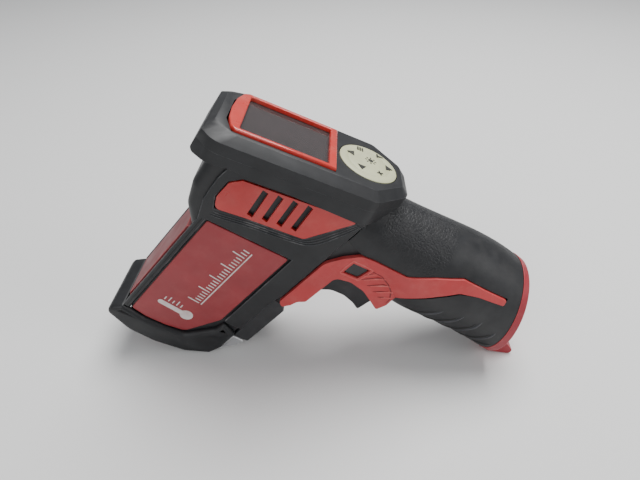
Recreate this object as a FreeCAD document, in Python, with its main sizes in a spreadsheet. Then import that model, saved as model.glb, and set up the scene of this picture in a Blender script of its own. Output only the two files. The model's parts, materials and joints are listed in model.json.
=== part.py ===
import FreeCAD, Part
import math
import os
import re

# Handheld infrared thermometer with a pistol grip, an open battery bay and a tilted rear display.
#
# Every piece is drawn in the holding position: the barrel is level and looks along -X, the grip hangs
# down along -Z, and the symmetry plane is Y = 0. A single placement then leans the whole tool forward
# until it lies on the bottom edge of its nose and on the lip of its grip, with +Z up and the origin
# under the middle of its box. "left" is the -Y side, "right" is the +Y side, as the holder sees them.

V = FreeCAD.Vector
doc = FreeCAD.newDocument("infrared_thermometer")

# ---------------------------------------------------------------- driving dimensions (millimetres)
SIZES = {
    "shell_half": 16.6,       # half width of the barrel shells
    "shell_wall": 2.2,        # wall of the moulded shells
    "trim_half": 18.2,        # half width over the rubber side frames
    "bumper_half": 19.5,      # half width over the nose bumper
    "panel_half": 17.5,       # half width over the painted side panels
    "louver_half": 18.5,      # half width over the louver inserts
    "strip_half": 13.0,       # half width of the strip along the top
    "strip_top": 52.9,        # height of that strip
    "deck_top": 51.6,         # height of the barrel's flat top
    "pod_half": 24.0,         # half width of the display pod
    "pod_wall": 2.4,
    "pod_split": 8.0,         # depth of the front pod cover behind the face
    "pod_chamfer_deep": 3.0,  # depth of the slope round the face
    "bezel_half": 17.4,       # display bezel, half width
    "bezel_proud": 1.4,
    "glass_half": 15.2,       # display opening, half width
    "glass_long": 18.3,       # display opening, half length down the pod
    "keypad_radius": 13.6,
    "keypad_place": 37.4,     # from the display centre down the pod
    "grip_skin": 2.4,         # rubber on the grip
    "grip_gap": 0.2,          # gap between the skin and the shell under it
    "grip_half": 23.5,        # half width of the grip at its widest
    "trim_proud": 0.7,        # how far the trigger surround stands out of the rubber
    "trigger_half": 8.0,
    "slot_half": 8.7,         # half width of the trigger slot
    "lip_half": 12.5,
    "lens_radius": 7.5,
    "tube_radius": 9.0,
    "screw_radius": 1.4,
    "pin_radius": 1.5,
    "face_tilt": 17.7,        # degrees, display face against upright
    "lead_radius": 0.7,
    "foot_radius": 2.0,       # rounding of the two resting edges
}
sheet = doc.addObject("Spreadsheet::Sheet", "Sizes")
for row, (alias, value) in enumerate(SIZES.items(), start=1):
    sheet.set("A%d" % row, alias)
    sheet.set("B%d" % row, "%g" % value)
    sheet.setAlias("B%d" % row, alias)
doc.recompute()


def size(text):
    """Value of an expression in the sheet's aliases."""
    return float(sheet.evalExpression(text))


nodes = []


def node(obj, label):
    """Name a finished sub-part; it is written out under that name."""
    obj.Label = label
    nodes.append(obj)
    return obj


def bound(text):
    """An expression in bare aliases, written for a property outside the sheet."""
    return re.sub(r"[a-z_]+", lambda word: "Sizes." + word.group() if word.group() in SIZES else word.group(),
                  text)


# ---------------------------------------------------------------- drawing helpers
def corner(before, at, after, radius):
    """Start, middle and end of the arc that rounds one corner of an outline."""
    p, a, b = V(*at), V(*before), V(*after)
    u, w = (a - p).normalize(), (b - p).normalize()
    half = u.getAngle(w) / 2
    cut = radius / math.tan(half)
    bisector = (u + w).normalize()
    centre = p + bisector * (radius / math.sin(half))
    return p + u * cut, centre - bisector * radius, p + w * cut


def rounded(points):
    """Closed outline of straight lines and tangent arcs. A point is (x, y) or (x, y, corner radius)."""
    runs, count = [], len(points)
    for i, point in enumerate(points):
        at = (point[0], point[1], 0)
        radius = point[2] if len(point) > 2 else 0
        before = (points[i - 1][0], points[i - 1][1], 0)
        after = (points[(i + 1) % count][0], points[(i + 1) % count][1], 0)
        runs.append(corner(before, at, after, radius) if radius else (V(*at), None, V(*at)))
    curves = []
    for i, (start, middle, end) in enumerate(runs):
        if middle is not None:
            curves.append(Part.Arc(start, middle, end))
        following = runs[(i + 1) % count][0]
        if end.distanceToPoint(following) > 1e-6:
            curves.append(Part.LineSegment(end, following))
    return curves


def inset(points, distance):
    """The same outline, drawn anticlockwise, moved inwards by a wall thickness."""
    moved, count = [], len(points)
    for i, point in enumerate(points):
        p = V(point[0], point[1], 0)
        a = V(points[i - 1][0], points[i - 1][1], 0)
        b = V(points[(i + 1) % count][0], points[(i + 1) % count][1], 0)
        u, w = (p - a).normalize(), (b - p).normalize()
        m, n = V(-u.y, u.x, 0), V(-w.y, w.x, 0)
        step = (m + n) * (distance / (1 + m.dot(n)))
        radius = point[2] if len(point) > 2 else 0
        moved.append((p.x + step.x, p.y + step.y, max(radius - distance, 0)))
    return moved


def plane_of(body, role):
    return next(f for f in body.Origin.OriginFeatures if f.Role == role)


def draw(body, name, curves, role, offset):
    """A sketch on one of the body's origin planes; offset is an expression along the plane's normal."""
    sketch = body.newObject("Sketcher::SketchObject", name)
    sketch.AttachmentSupport = [(plane_of(body, role), "")]
    sketch.MapMode = "FlatFace"
    sketch.setExpression("AttachmentOffset.Base.z", bound(offset))
    for curve in curves:
        sketch.addGeometry(curve, False)
    return sketch


def new_body(name):
    return doc.addObject("PartDesign::Body", name)


def slab(name, points, near, far, side, role="XZ_Plane"):
    """Side-view outline made solid between two distances from the symmetry plane, on one side of it."""
    body = new_body(name)
    away = role == "XZ_Plane"
    offset = near if (side < 0) == away else "-(%s)" % near
    sketch = draw(body, name + "_outline", rounded(points), role, offset)
    pad = body.newObject("PartDesign::Pad", name + "_pad")
    pad.Profile = sketch
    pad.setExpression("Length", bound("(%s) - (%s)" % (far, near)))
    pad.Reversed = (side > 0) == away
    return body


def across(name, points, half, role="XZ_Plane"):
    """Side-view outline made solid to the same distance on both sides of the symmetry plane."""
    body = new_body(name)
    sketch = draw(body, name + "_outline", rounded(points), role, "0")
    pad = body.newObject("PartDesign::Pad", name + "_pad")
    pad.Profile = sketch
    pad.setExpression("Length", bound("2 * (%s)" % half))
    pad.Midplane = True
    return body


def pocket(body, name, points, near, far, side):
    """Cut a side-view outline out of a body between two distances from the symmetry plane."""
    sketch = draw(body, name + "_outline", rounded(points), "XZ_Plane",
                  near if side < 0 else "-(%s)" % near)
    cut = body.newObject("PartDesign::Pocket", name)
    cut.Profile = sketch
    cut.setExpression("Length", bound("(%s) - (%s)" % (far, near)))
    cut.Reversed = side < 0
    return cut


def soften(body, name, radius, chooses):
    """Round the edges of a body that a rule picks, as a fillet feature."""
    doc.recompute()
    tip = body.Tip
    names = ["Edge%d" % (i + 1) for i, e in enumerate(tip.Shape.Edges) if chooses(e)]
    fillet = body.newObject("PartDesign::Fillet", name)
    fillet.Base = (tip, names)
    fillet.Radius = radius
    doc.recompute()
    return fillet


def cut(name, base, tool):
    obj = doc.addObject("Part::Cut", name)
    obj.Base, obj.Tool = base, tool
    return obj


def common(name, base, tool):
    obj = doc.addObject("Part::Common", name)
    obj.Base, obj.Tool = base, tool
    return obj


def fuse(name, *parts):
    obj = doc.addObject("Part::MultiFuse", name)
    obj.Shapes = list(parts)
    return obj


def rod(name, radius, length, start, along):
    """A cylinder from a point in a direction; radius and length are expressions."""
    obj = doc.addObject("Part::Cylinder", name)
    obj.setExpression("Radius", bound(radius))
    obj.setExpression("Height", bound(length))
    obj.Placement = FreeCAD.Placement(V(*start), FreeCAD.Rotation(V(0, 0, 1), V(*along)))
    return obj


def brick(name, lengths, centre):
    """A box by its three lengths, which are expressions, and its centre."""
    obj = doc.addObject("Part::Box", name)
    for side, text in zip(("Length", "Width", "Height"), lengths):
        obj.setExpression(side, bound(text))
    half = V(*[size(text) / 2 for text in lengths])
    obj.Placement = FreeCAD.Placement(V(*centre) - half, FreeCAD.Rotation())
    return obj


SIDES = (("left", -1), ("right", 1))


def at_outer(edge, half):
    """True for edges that lie in the plane at a given distance from the symmetry plane."""
    return all(abs(abs(v.Y) - half) < 1e-4 for v in edge.Vertexes)


# ---------------------------------------------------------------- grip form
# Level sections of the grip: height, middle, half depth and half width against the widest.
SECTIONS = [(-4, 7.6, 18.6, 0.745), (-14, 7.6, 19.8, 0.79), (-30, 8.3, 22.5, 0.865),
            (-50, 9.7, 26.3, 0.965), (-70, 13.7, 26.8, 1.0), (-90, 16.3, 25.8, 1.0),
            (-130, 22.6, 23.4, 0.98)]


def grip_form(name, growth):
    """The grip as one lofted solid, moved outwards by an expression."""
    body = new_body(name)
    grown = size(growth)
    sketches = []
    for i, (height, middle, half_depth, share) in enumerate(SECTIONS):
        long_half = max(half_depth, size("grip_half") * share) + grown
        short_half = min(half_depth, size("grip_half") * share) + grown
        lying = half_depth >= size("grip_half") * share
        ellipse = Part.Ellipse(V(middle, 0, 0), long_half, short_half)
        if not lying:
            ellipse.rotate(FreeCAD.Placement(V(), FreeCAD.Rotation(V(0, 0, 1), 90), V(middle, 0, 0)))
        sketches.append(draw(body, "%s_section_%d" % (name, i), [ellipse], "XY_Plane", "%g" % height))
    loft = body.newObject("PartDesign::AdditiveLoft", name + "_loft")
    loft.Profile = sketches[0]
    loft.Sections = sketches[1:]
    return body


trim_outer = grip_form("grip_trim_outer", "trim_proud")
skin_outer = grip_form("grip_skin_outer", "0")
skin_inner = grip_form("grip_skin_inner", "-grip_skin")
shell_outer = grip_form("grip_shell_outer", "-grip_skin - grip_gap")
shell_inner = grip_form("grip_shell_inner", "-grip_skin - grip_gap - shell_wall")
trim_ring = cut("trim_ring", trim_outer, skin_inner)
skin_ring = cut("skin_ring", skin_outer, skin_inner)
shell_ring = cut("shell_ring", shell_outer, shell_inner)

# the slanted cut across the foot of the grip
RIM_BACK, RIM_FRONT = (43.68, -85.38), (-8.32, -111.5)
rim_length = math.hypot(RIM_BACK[0] - RIM_FRONT[0], RIM_BACK[1] - RIM_FRONT[1])
RIM_ALONG = ((RIM_FRONT[0] - RIM_BACK[0]) / rim_length, (RIM_FRONT[1] - RIM_BACK[1]) / rim_length)
RIM_UP = (RIM_ALONG[1], -RIM_ALONG[0])


def on_rim(along, up):
    """A point of the side view by its distance along the rim from the back, and above its plane."""
    return (RIM_BACK[0] + RIM_ALONG[0] * along + RIM_UP[0] * up,
            RIM_BACK[1] + RIM_ALONG[1] * along + RIM_UP[1] * up)


# ---------------------------------------------------------------- outlines of the side view
COLLAR = [(-48.5, -7.6, 1.2), (-46.5, -4.8, 2), (-12.5, -4.8, 8), (-4.5, -9.2, 8), (2.0, -14.5, 6),
          (4.4, -20, 10), (6.0, -26, 8), (8.8, -37.2, 8), (17.2, -46.8, 6), (24.8, -57.8, 3),
          (29.6, -82.8, 0.8), (27.0, -83.4, 1), (23.1, -69.4, 8), (19.0, -60.6, 5), (11.0, -54.2, 8),
          (2.4, -48.4, 8), (-5.6, -44.0, 3), (-12.4, -44.8, 1), (-18.0, -43.2, 1), (-16.0, -38, 2),
          (-13.0, -30, 8), (-12.8, -21.5, 6), (-15.8, -14.4, 4), (-37.5, -14.2, 2), (-40.5, -11.2, 3),
          (-44.5, -10.2, 2)]
LOCK = [(-10.3, -14.9, 1), (-3.5, -14.9, 1.6), (-1.7, -22.9, 1.2), (-8.6, -21.9, 1.6)]
SHELL_BARREL = [(-104, 2, 1), (-91, 2), (-90, -1.6), (-47.5, -1.6, 2), (-45, -5.5, 2), (-39, -12.6, 2),
                (-13, -12.6, 1), (-8, -19), (14, -19, 1), (14, -6), (17.4, -1.5), (2.0, 57.2),
                (-1.4, 65), (-18, 63.4, 8), (-29, 59.6, 10), (-38.5, 51.6, 4), (-103, 51.6, 2),
                (-107, 46, 3), (-107, 12, 3)]
BUMPER = [(-112.6, 57, 3), (-117.6, 42, 12), (-117.2, 27, 16), (-112.8, 10.5, 5), (-104.5, -0.8, "foot"),
          (-96, -3.2, 3), (-83, -2.4, 2), (-79.4, 6.4, 1.5), (-86, 7.6, 5), (-100.4, 17.6, 6),
          (-103.4, 29, 8), (-104.5, 39.5, 5), (-103.2, 52.5, 1.5), (-108, 56.6, 3)]
BUMPER = [(x, z, size("foot_radius") if r == "foot" else r) for x, z, r in BUMPER]
PANEL = [(-102.4, 48, 1.5), (-103.6, 39.5, 6), (-102.6, 29, 8), (-99.6, 18.4, 6), (-79, 8.6, 4),
         (-22.6, 8.3, 1.2), (-29, 48.4, 1.2)]
LOUVER = [(-20.4, 49.8, 2.5), (-15.8, 37), (-8.0, 11.4, 3), (14.6, -0.6, 0.8), (10.4, 14), (-1.2, 48.6, 2),
          (-5.8, 52.2, 3), (-14.8, 52.4, 3)]
FRAME = [(-78.2, 5.4, 1), (-77.4, -2.6, 1), (-47.8, -2.6, 2), (-43.6, -3.9, 1), (15.6, -3.9, 1),
         (18.2, -1.8), (1.4, 56), (-8, 57, 4), (-20, 56, 4), (-30, 52.6, 3), (-102.6, 52.6, 1),
         (-102.6, 49.4, 0.5), (-28.2, 49.4), (-21.4, 7.3), (-77.8, 7.3, 1)]
STRIP = [(-100.5, "deck_top"), (-98, "strip_top"), (-41, "strip_top"), (-40, "deck_top")]
TRIGGER = [(-37.6, -15, 1), (-35.6, -20.7, 2), (-31.6, -25.2, 8), (-30.1, -32.6, 8), (-31, -39.6, 6),
           (-33, -45.0, 1), (-21, -46.0, 3), (-11, -40, 3), (-8.2, -30, 4), (-9.6, -14, 4),
           (-10.4, -4.6, 3.4), (-17.6, -4.6, 3.4), (-18.6, -13.6, 2), (-27, -15.2, 2)]
PIVOT = (-14.0, -8.2)

# ---------------------------------------------------------------- barrel and grip shells
SLOT = [(-44, -15.2), (-20.6, -15.2), (-20.6, -3.2), (-6.6, -3.2), (-6.6, -48), (-44, -48)]
trigger_slot = across("trigger_slot", SLOT, "slot_half")
lock_hole = across("lock_hole", [(x, z) for x, z, r in inset(LOCK[::-1], -0.35)], "30")
below_rim = across("below_rim", [on_rim(-30, 0), on_rim(100, 0), on_rim(100, -60), on_rim(-30, -60)], "40")
lead_pass = brick("lead_pass", ("11", "14", "5"), (7, 0, -18))
pod_opening = across("pod_opening", [(-6, 20), (16, 20), (16, 44), (-6, 44)], "11")
screw_places = [(-74, 44.5), (-74, 5.4), (-53.5, 45), (-53.5, 3.6), (-7, 54)]
lens_bore = rod("lens_bore", "tube_radius + 0.3", "20", (-110, 0, 27), (1, 0, 0))
laser_places = [(40.6, "upper"), (13.6, "lower")]
laser_bores = [rod("laser_bore_" + word, "3.6", "20", (-110, 0, z), (1, 0, 0)) for z, word in laser_places]
nose_bores = fuse("nose_bores", lens_bore, *laser_bores)

for word, side in SIDES:
    shell = slab("shell_%s_barrel" % word, SHELL_BARREL, "0", "shell_half", side)
    soften(shell, "hood_%s_shoulder" % word, 4.5, lambda e: at_outer(e, size("shell_half"))
           and e.BoundBox.ZMin > 51 and e.BoundBox.XMin > -42)
    inner = inset(SHELL_BARREL, size("shell_wall"))
    pocket(shell, "shell_%s_hollow" % word, inner, "0", "shell_half - shell_wall", side)
    half_space = slab("shell_%s_side" % word, [(-60, -130), (60, -130), (60, -34), (33, -16.6), (20, -8),
                                               (12, -7), (12, -17), (-60, -17)], "0", "40", side)
    stock = common("shell_%s_grip" % word, shell_ring, half_space)
    boss_list = []
    for i, (x, z) in enumerate(screw_places):
        boss_list.append(rod("boss_%s_%d" % (word, i), "3.4", "shell_half - 0.5", (x, 0, z), (0, side, 0)))
    pin_boss = rod("pin_boss_" + word, "3.4", "shell_half - slot_half - 0.7",
                   (PIVOT[0], side * size("slot_half + 0.2"), PIVOT[1]), (0, side, 0))
    whole = fuse("shell_%s_whole" % word, shell, stock, pin_boss, *boss_list)
    holes = [rod("pilot_%s_%d" % (word, i), "screw_radius + 0.05", "shell_half - 2",
                 (x, 0, z), (0, side, 0)) for i, (x, z) in enumerate(screw_places)]
    if side > 0:
        holes += [rod("head_%s_%d" % (word, i), "3", "3", (x, 14.4, z), (0, 1, 0))
                  for i, (x, z) in enumerate(screw_places)]
        holes += [rod("pilot_far_%d" % i, "screw_radius + 0.05", "16.5", (x, 0, z), (0, 1, 0))
                  for i, (x, z) in enumerate(screw_places)]
    holes.append(rod("pin_hole_" + word, "pin_radius + 0.05", "13.2", (PIVOT[0], 0, PIVOT[1]), (0, side, 0)))
    tools = fuse("shell_%s_tools" % word, trigger_slot, lock_hole, below_rim, lead_pass, pod_opening,
                 nose_bores, *holes)
    node(cut("housing_" + word, whole, tools), "housing_" + word)

# ---------------------------------------------------------------- grip rubber, trigger surround, butt rim
GRIP_SKIN = [(3.9, -4.6), (15.6, -4.6), (20.2, -6.6), (33.4, -15.6), (46, -24), (60, -60)] \
    + [on_rim(-20, 0.2), on_rim(75, 0.2)] + [(-40, -46.6), (-5.2, -45.4), (2, -49.8), (10.4, -55.6),
      (18.4, -61.8), (22.7, -69.8), (26.7, -83.9), (30.3, -83.3), (25.3, -57.4), (17.6, -46.4), (9.3, -36.9),
      (6.5, -26), (4.9, -20), (2.5, -14.1)]
CHEEK = [(-60, -48), (-4, -48), (6, -30), (6, 0), (-60, 0)]
barrel_space = across("barrel_space", inset(SHELL_BARREL, -0.1), "shell_half + 0.05")
for word, side in SIDES:
    zone = slab("grip_%s_zone" % word, GRIP_SKIN, "0.05", "40", side)
    skin = common("grip_%s_skin" % word, skin_ring, zone)
    node(cut("grip_" + word, skin, fuse("grip_%s_tools" % word, barrel_space, trigger_slot)), "grip_" + word)

    outer = slab("surround_%s_zone" % word, COLLAR, "0.05", "40", side)
    wrap = common("surround_%s_wrap" % word, trim_ring, outer)
    cheek = slab("surround_%s_cheek" % word, COLLAR, "slot_half", "trim_half + 0.6", side)
    keep = slab("surround_%s_keep" % word, CHEEK, "0", "40", side)
    arm = cut("surround_%s_arm" % word, common("surround_%s_plate" % word, cheek, keep), skin_inner)
    joined = fuse("surround_%s_joined" % word, wrap, arm)
    tools = fuse("surround_%s_tools" % word, trigger_slot, lock_hole, barrel_space)
    node(cut("trigger_surround_" + word, joined, tools), "trigger_surround_" + word)

rim_outer = grip_form("rim_outer", "0.3")
rim_inner = grip_form("rim_inner", "-grip_skin - grip_gap - shell_wall")
rim_slab = across("rim_slab", [on_rim(-30, 0), on_rim(90, 0), on_rim(90, -3.9), on_rim(-30, -3.9)], "40")
rim_loop = cut("rim_loop", rim_slab, rim_inner)
LIP = [(-6.2, -112.6), (-1.2, -120.4, 3), (2.4, -126.3, "foot"), (5.2, -125.2, "foot"), (6.8, -118, 4),
       (6.4, -107.6)]
LIP = [tuple(size("foot_radius") if v == "foot" else v for v in point) for point in LIP]
lip_stock = across("lip_stock", LIP, "lip_half")
node(common("butt_rim_piece", rim_outer, fuse("rim_and_lip", rim_loop, lip_stock)), "butt_rim")

# ---------------------------------------------------------------- nose
bumper = across("bumper_block", BUMPER, "bumper_half")
soften(bumper, "bumper_corners", 2.4, lambda e: at_outer(e, size("bumper_half")))
mouth = across("nose_mouth", [(-109, 0.2), (-91.4, 0.2), (-90.4, -1.7), (-60, -1.7), (-60, 52.1),
                              (-109, 52.1)], "shell_half + 0.05")
window = brick("nose_window", ("24", "29", "42"), (-112, 0, 26.5))
bumper_tools = fuse("bumper_tools", mouth, window)
node(cut("bumper_hollowed", bumper, bumper_tools), "nose_bumper")

bezel_plate = across("front_plate", [(-112.2, 10.6, 0.6), (-110.8, 8.6, 0.6), (-109.4, 8.6), (-109.4, 46.8),
                                       (-112.4, 46.8, 1), (-112.4, 20)], "14")
plate_holes = fuse("front_plate_holes",
                   rod("plate_lens_hole", "lens_radius + 1.6", "20", (-120, 0, 27), (1, 0, 0)),
                   *[rod("plate_laser_hole_" + w, "2.6", "20", (-120, 0, z), (1, 0, 0))
                     for z, w in laser_places])
node(cut("front_bezel", bezel_plate, plate_holes), "front_bezel")


def turned(name, profile, height=27.0):
    """A part turned about the optical axis; the profile is (distance along -X to +X, radius)."""
    body = new_body(name)
    sketch = draw(body, name + "_profile", rounded([(x, height + r) for x, r in profile]), "XZ_Plane", "0")
    sketch.addGeometry(Part.LineSegment(V(-120, height, 0), V(-40, height, 0)), True)
    turn = body.newObject("PartDesign::Revolution", name + "_turn")
    turn.Profile = sketch
    turn.ReferenceAxis = (sketch, ["Axis0"])
    turn.Angle = 360
    return body


tube, glass = size("tube_radius"), size("lens_radius")
node(turned("lens_tube", [(-108.6, glass + 0.4), (-108.6, tube), (-62, tube), (-62, 5.6), (-63.5, 5.6),
                          (-63.5, glass - 1), (-107, glass - 1), (-107, glass + 0.4)]), "lens_tube")
lens_rod = rod("lens_rod", "lens_radius", "6", (-113, 0, 27), (1, 0, 0))
lens_ball = doc.addObject("Part::Sphere", "lens_ball")
lens_ball.Radius = 15
lens_ball.Placement.Base = V(-95.2, 0, 27)
node(common("ir_lens", lens_rod, lens_ball), "ir_lens")
node(turned("lens_ring", [(-113.2, glass + 1.5), (-113.2, glass - 0.4), (-110.6, glass - 0.8),
                          (-108.7, glass + 0.1), (-108.7, glass + 1.5)]), "lens_ring")
can = rod("sensor_can_body", "4.2", "3.6", (-61.9, 0, 27), (1, 0, 0))
can_flange = rod("sensor_can_flange", "4.7", "0.8", (-58.6, 0, 27), (1, 0, 0))
node(fuse("thermopile_sensor", can, can_flange), "thermopile_sensor")
node(brick("sensor_board", ("1.6", "22", "22"), (-57, 0, 27)), "sensor_board")
laser_bodies = [rod("laser_" + w, "3.2", "22", (-107, 0, z), (1, 0, 0)) for z, w in laser_places]
node(fuse("laser_modules", *laser_bodies), "laser_modules")
node(fuse("laser_windows", *[rod("laser_glass_" + w, "2.5", "1.4", (-112, 0, z), (1, 0, 0))
                             for z, w in laser_places]), "laser_windows")

# ---------------------------------------------------------------- outer trim of the barrel
for word, side in SIDES:
    frame = slab("side_frame_%s_plate" % word, FRAME, "shell_half + 0.05", "trim_half", side)
    opening = [(x, z) for x, z, r in inset([p if len(p) > 2 else p + (0,) for p in LOUVER], -0.4)]
    pocket(frame, "side_frame_%s_window" % word, opening, "shell_half", "trim_half + 1", side)
    node(frame, "side_frame_" + word)

    panel = slab("side_panel_" + word, PANEL, "shell_half + 0.05", "panel_half", side)
    soften(panel, "panel_%s_edge" % word, 0.5, lambda e: at_outer(e, size("panel_half")))
    node(panel, "side_panel_" + word)

    louver = slab("louver_insert_" + word, LOUVER, "shell_half + 0.05", "louver_half", side)
    for i in range(4):
        x, z = -13.6 + 2.2 * i, 36.4 - 6.2 * i
        vent = [(x, z - 1.3), (x + 14.4, z + 0.6), (x + 14.4, z + 3.4), (x, z + 1.5)]
        pocket(louver, "vent_%s_%d" % (word, i), vent, "shell_half", "louver_half + 1", side)
    node(louver, "louver_insert_" + word)

strip = across("top_strip", [(x, size(z)) for x, z in STRIP], "strip_half")
node(strip, "top_strip")
under = across("under_block", [(-85.6, -3.4), (-84.8, -11.8, 1.5), (-52, -11.8, 2), (-49.2, -8, 1),
                               (-48.4, -1.7), (-77, -1.7), (-77.6, -3.4)], "shell_half")
node(under, "under_barrel_block")
wedge = across("wedge_plate", [(-101, -3.4), (-92, -8.8, 4), (-85.9, -10.2, 0.8), (-86.2, -3.4)],
               "shell_half")
node(wedge, "underside_plate")

# ---------------------------------------------------------------- trigger, lock and switch
trigger = across("trigger_blade", TRIGGER, "trigger_half")
soften(trigger, "trigger_edges", 1.6, lambda e: at_outer(e, size("trigger_half")) and e.BoundBox.XMin < -29
       and e.BoundBox.ZMax < -14.5)
pin_bore = rod("trigger_bore", "pin_radius + 0.06", "30", (PIVOT[0], -15, PIVOT[1]), (0, 1, 0))
spring_seat = across("spring_seat", [(-19.5, -12.6), (-8, -12.6), (-8, -3), (-19.5, -3)], "2.6")
trigger_tools = fuse("trigger_tools", pin_bore, spring_seat)
node(cut("trigger_cut", trigger, trigger_tools), "trigger")
node(rod("trigger_pin", "pin_radius", "26", (PIVOT[0], -13, PIVOT[1]), (0, 1, 0)), "trigger_pin")

lock_ends = across("lock_ends", LOCK, "trim_half - 0.2")
lock_gap = across("lock_gap", [(-12, -24), (0, -24), (0, -13), (-12, -13)], "10")
lock_rod = rod("lock_rod", "1.6", "24", (-4.6, -12, -18.4), (0, 1, 0))
node(fuse("lock_slide", cut("lock_caps", lock_ends, lock_gap), lock_rod), "lock_slide")
switch_case = brick("switch_case", ("6", "6.4", "14"), (3.2, 0, -27))
plunger_bore = brick("plunger_bore", ("2.5", "2.2", "2.2"), (1.4, 0, -25))
node(cut("trigger_switch", switch_case, plunger_bore), "trigger_switch")
node(brick("switch_plunger", ("8.4", "1.8", "1.8"), (-4.1, 0, -25)), "switch_plunger")

# ---------------------------------------------------------------- display pod
# The pod is drawn upright: X' across its face outwards, Z' up along it, with the display centre at 0.
tilt = -size("face_tilt")
POD = FreeCAD.Placement(V(19.9, 0, 44.3), FreeCAD.Rotation(V(0, 1, 0), tilt))


def tilted(obj):
    """Lean a pod piece with the face and carry it to its place."""
    obj.Placement = POD.multiply(obj.Placement)
    return obj


POD_SIDE = [(0.5, 27.5), (0.5, -57, 2), (-5, -59.5, 2), (-14.5, -47, 4), (-15.6, -40), (-12.5, 18),
            (-13.5, 26, 2), (-15.6, 34.6, 1.5), (-3, 31.5, 3)]
POD_REAR = [(24, -42, 7), (24, 26, 9), (14, 36, 8), (-14, 36, 8), (-24, 26, 9), (-24, -42, 7),
            (-10, -57.4, 7), (10, -57.4, 7)]
POD_FACE = [(19.8, -40.6, 4), (19.8, 19, 6), (12.5, 29, 6), (-12.5, 29, 6), (-19.8, 19, 6), (-19.8, -40.6, 4),
            (-8.4, -53.4, 4), (8.4, -53.4, 4)]
pod_block = across("pod_block", POD_SIDE, "pod_half")
pod_plan = new_body("pod_plan")
plan_sketch = draw(pod_plan, "pod_plan_outline", rounded(POD_REAR), "YZ_Plane", "-30")
plan_pad = pod_plan.newObject("PartDesign::Pad", "pod_plan_pad")
plan_pad.Profile = plan_sketch
plan_pad.setExpression("Length", bound("30 - pod_chamfer_deep"))
rear = draw(pod_plan, "pod_chamfer_rear", rounded(POD_REAR), "YZ_Plane", "-pod_chamfer_deep")
face = draw(pod_plan, "pod_chamfer_face", rounded(POD_FACE), "YZ_Plane", "0")
chamfer = pod_plan.newObject("PartDesign::AdditiveLoft", "pod_chamfer")
chamfer.Profile = rear
chamfer.Sections = [face]
chamfer.Ruled = True
pod_form = common("pod_form", pod_block, pod_plan)
CAVITY = [(-2.4, 27), (-2.4, -54), (-6, -55), (-12, -46), (-13, -40), (-9.6, 20), (-9.6, 29), (-4, 27)]
cavity = across("pod_cavity", [(x, z) for x, z in CAVITY][::-1], "pod_half - pod_wall")
cavity_plan = new_body("pod_cavity_plan")
cavity_sketch = draw(cavity_plan, "cavity_outline", rounded(inset(POD_REAR, size("pod_wall + 1.4"))),
                     "YZ_Plane", "-30")
cavity_pad = cavity_plan.newObject("PartDesign::Pad", "cavity_pad")
cavity_pad.Profile = cavity_sketch
cavity_pad.Length = 40
pod_hollow = common("pod_hollow", cavity, cavity_plan)
pod_skin = cut("pod_skin", pod_form, pod_hollow)
front_zone = brick("pod_front_zone", ("pod_split + 5", "60", "120"),
                   (5 - (size("pod_split") + 5) / 2, 0, -12))
bezel_hole = new_body("pod_bezel_hole")
BEZEL_SEAT = [(17.6, -22.4), (17.6, 20.8), (9, 24.5), (-9, 24.5), (-17.6, 20.8), (-17.6, -22.4)]
seat_sketch = draw(bezel_hole, "bezel_seat", rounded(BEZEL_SEAT), "YZ_Plane", "-5")
seat_pad = bezel_hole.newObject("PartDesign::Pad", "bezel_seat_pad")
seat_pad.Profile = seat_sketch
seat_pad.Length = 10
keypad_hole = rod("pod_keypad_hole", "keypad_radius + 0.3", "10", (-5, 0, -size("keypad_place")), (1, 0, 0))
cable_hole = brick("pod_cable_hole", ("10", "20", "26"), (-13, 0, -8))
face_holes = fuse("pod_face_holes", bezel_hole, keypad_hole)
pod_front_stock = common("pod_front_stock", pod_skin, front_zone)
pod_front = cut("pod_front", pod_front_stock, face_holes)
pod_back_stock = cut("pod_back_stock", pod_skin, front_zone)
pod_back = cut("pod_back", pod_back_stock, cable_hole)
node(tilted(pod_front), "pod_front_cover")
node(tilted(pod_back), "pod_back_cover")

half = size("bezel_half")
BEZEL = [(half, -22.2, 0.8), (half, 20.6, 2.5), (9, 24.2, 12), (-9, 24.2, 12), (-half, 20.6, 2.5),
         (-half, -22.2, 0.8)]
bezel_block = new_body("bezel_block")
bezel_sketch = draw(bezel_block, "bezel_outline", rounded(BEZEL), "YZ_Plane", "-2.2")
bezel_pad = bezel_block.newObject("PartDesign::Pad", "bezel_pad")
bezel_pad.Profile = bezel_sketch
bezel_pad.setExpression("Length", bound("2.2 + bezel_proud"))
bezel_opening = brick("bezel_opening", ("12", "2 * glass_half", "2 * glass_long"), (0, 0, 0))
bezel_rebate = brick("bezel_rebate", ("2.4", "2 * glass_half + 2.2", "2 * glass_long + 2.2"), (-1.8, 0, 0))
bezel_cuts = fuse("bezel_cuts", bezel_opening, bezel_rebate)
node(tilted(cut("display_bezel", bezel_block, bezel_cuts)), "display_bezel")
node(tilted(brick("display_window", ("1.2", "2 * glass_half + 2", "2 * glass_long + 2"), (-1.3, 0, 0))),
     "display_window")
gasket_block = brick("gasket_block", ("0.8", "34.6", "42.8"), (-2.75, 0, -0.6))
gasket_hole = brick("gasket_hole", ("2", "2 * glass_half", "2 * glass_long"), (-2.75, 0, 0))
node(tilted(cut("display_gasket", gasket_block, gasket_hole)), "display_gasket")
node(tilted(brick("lcd_module", ("3", "34", "43.4"), (-4.7, 0, 0.4))), "lcd_module")
board = new_body("display_board_block")
BOARD = [(19, 23, 1), (-19, 23, 1), (-19, -39, 1), (-7.5, -51.5, 1), (7.5, -51.5, 1), (19, -39, 1)]
board_sketch = draw(board, "display_board_outline", rounded(BOARD), "YZ_Plane", "-8.3")
board_pad = board.newObject("PartDesign::Pad", "display_board_pad")
board_pad.Profile = board_sketch
board_pad.Length = 1.4
node(tilted(board), "display_board")

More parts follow.
